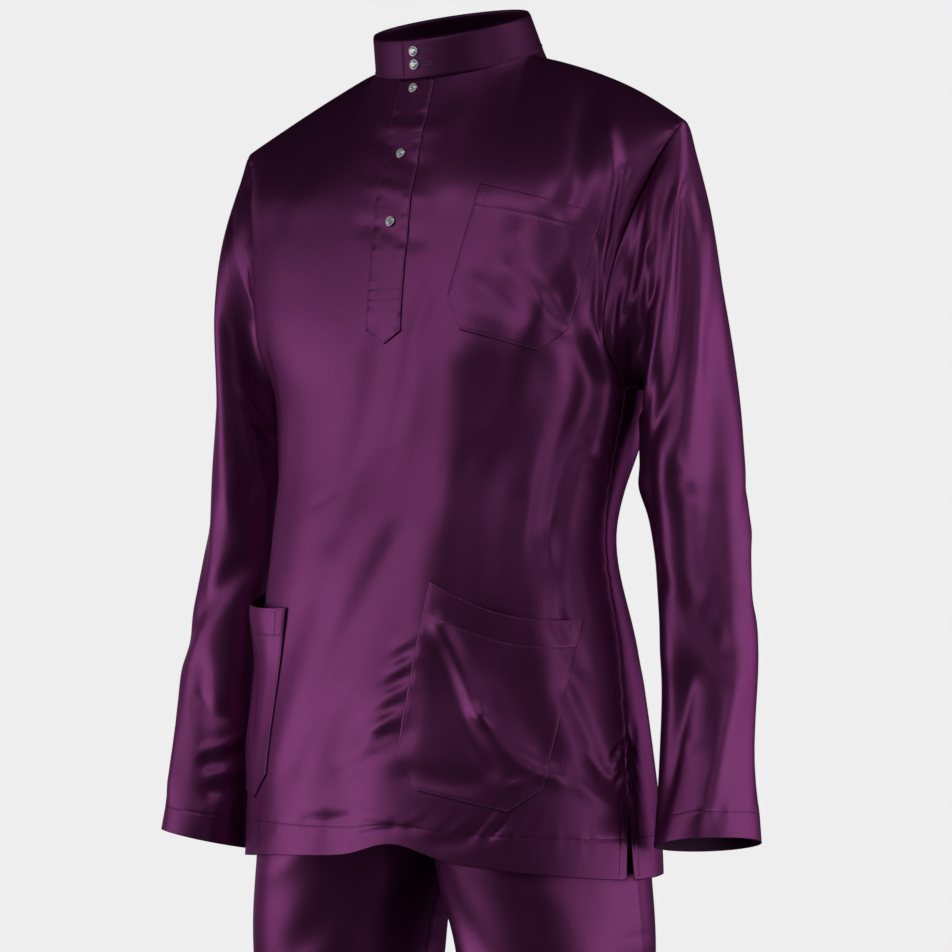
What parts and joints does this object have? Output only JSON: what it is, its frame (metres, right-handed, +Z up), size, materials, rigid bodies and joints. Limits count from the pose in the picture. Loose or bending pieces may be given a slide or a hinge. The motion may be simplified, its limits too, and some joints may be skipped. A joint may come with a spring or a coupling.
{
  "type": "baju melayu",
  "caption": "Satin shirt with a stand collar, studded placket, patch pockets and long sleeves over matching straight trousers, hollow, in worn form.",
  "frame": {"origin": "middle of the shirt's neck opening, where the collar is sewn on", "axes": "+Z up the body, -Y out of the front, +X toward the wearer's left"},
  "size_m": [0.606, 0.2674, 1.4812],
  "materials": {
    "satin": "purple satin, soft sheen",
    "stud": "faceted, bright"
  },
  "bodies": {
    "root": {"shirt_front": "satin", "shirt_back": "satin", "sleeve_left": "satin", "sleeve_right": "satin", "collar": "satin", "placket": "satin", "pocket_chest": "satin", "pocket_left": "satin", "pocket_right": "satin", "stud_1": "stud", "stud_2": "stud", "stud_3": "stud", "stud_4": "stud", "stud_5": "stud", "trouser_front_left": "satin", "trouser_back_left": "satin", "trouser_front_right": "satin", "trouser_back_right": "satin", "trouser_waistband": "satin"}
  },
  "joints": []
}
